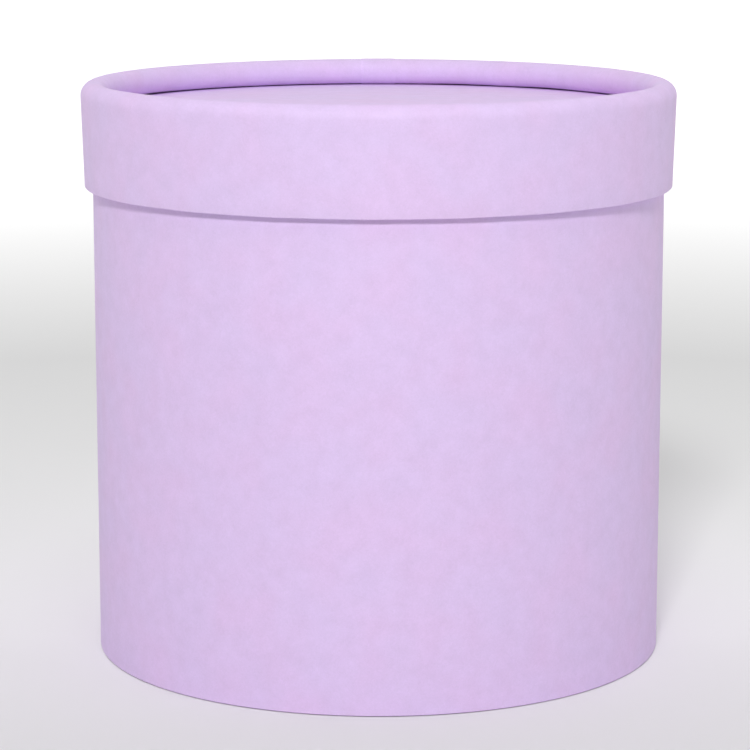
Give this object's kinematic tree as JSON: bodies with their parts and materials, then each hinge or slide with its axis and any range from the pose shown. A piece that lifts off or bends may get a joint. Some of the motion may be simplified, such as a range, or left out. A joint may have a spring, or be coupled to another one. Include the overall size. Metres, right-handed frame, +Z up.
{
  "type": "cylindrical gift box",
  "caption": "Round paper-covered board gift box with a straight tubular body and a slip-over lid whose rolled rim stands above a sunk flat top.",
  "frame": {"origin": "centre of the base, on the surface that the box stands on", "axes": "+Z up along the axis of the box, out through the middle of the lid; +Y towards the paper seams at the back, so the front faces -Y"},
  "size_m": [0.1556, 0.1558, 0.1507],
  "materials": {
    "lilac_paper": "uncoated matt lilac paper, glued to the board",
    "white_paper": "uncoated matt white paper, glued to the board",
    "board": "unbleached grey board, hidden under the papers"
  },
  "bodies": {
    "box": {"body_outer_ply": "board", "body_middle_ply": "board", "body_inner_ply": "board", "base_disc": "board", "body_wrap": "lilac_paper", "base_paper": "lilac_paper", "body_lining": "white_paper", "floor_paper": "white_paper"},
    "lid": {"lid_outer_ply": "board", "lid_middle_ply": "board", "lid_inner_ply": "board", "lid_disc": "board", "lid_wrap": "lilac_paper", "lid_top_paper": "lilac_paper", "lid_lining": "white_paper", "lid_under_paper": "white_paper"}
  },
  "joints": [
    {"name": "lid_lift", "type": "slide", "parent": "box", "child": "lid", "axis": [0, 0, 1], "range_m": [0, 0.16]}
  ]
}
